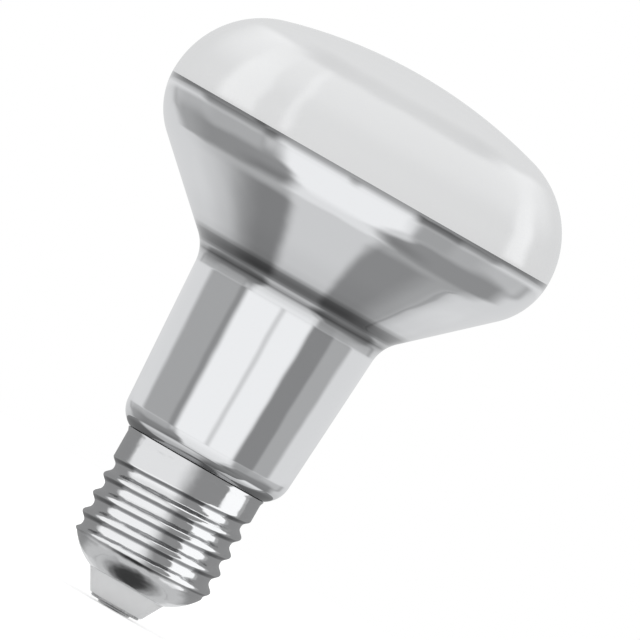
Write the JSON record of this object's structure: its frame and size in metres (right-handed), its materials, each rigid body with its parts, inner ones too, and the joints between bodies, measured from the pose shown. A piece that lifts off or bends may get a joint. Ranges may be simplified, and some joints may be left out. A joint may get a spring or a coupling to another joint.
{
  "type": "reflector bulb",
  "caption": "Reflector lamp with a milky front dome, silvered bowl and neck, round-thread screw cap, pale insulator and centre contact.",
  "frame": {"origin": "centre of the centre contact's end face, the lowest point of the lamp", "axes": "+Z along the lamp's axis from the cap to the front dome; the lamp is round about Z, apart from its thread and side lead"},
  "size_m": [0.075, 0.075, 0.1071],
  "materials": {
    "milky_glass": "frosted inside, smooth and glossy outside",
    "silvering": "mirror bright",
    "cap_metal": "bright rolled sheet",
    "insulator": "smooth, pale grey white",
    "contact_metal": "dull grey metal",
    "cement": "matte",
    "lead_wire": "drawn wire"
  },
  "bodies": {
    "root": {"glass_bulb": "milky_glass", "mirror_coating": "silvering", "screw_shell": "cap_metal", "cap_insulator": "insulator", "centre_contact": "contact_metal", "basing_cement": "cement", "centre_lead_wire": "lead_wire", "side_lead_wire": "lead_wire"}
  },
  "joints": []
}
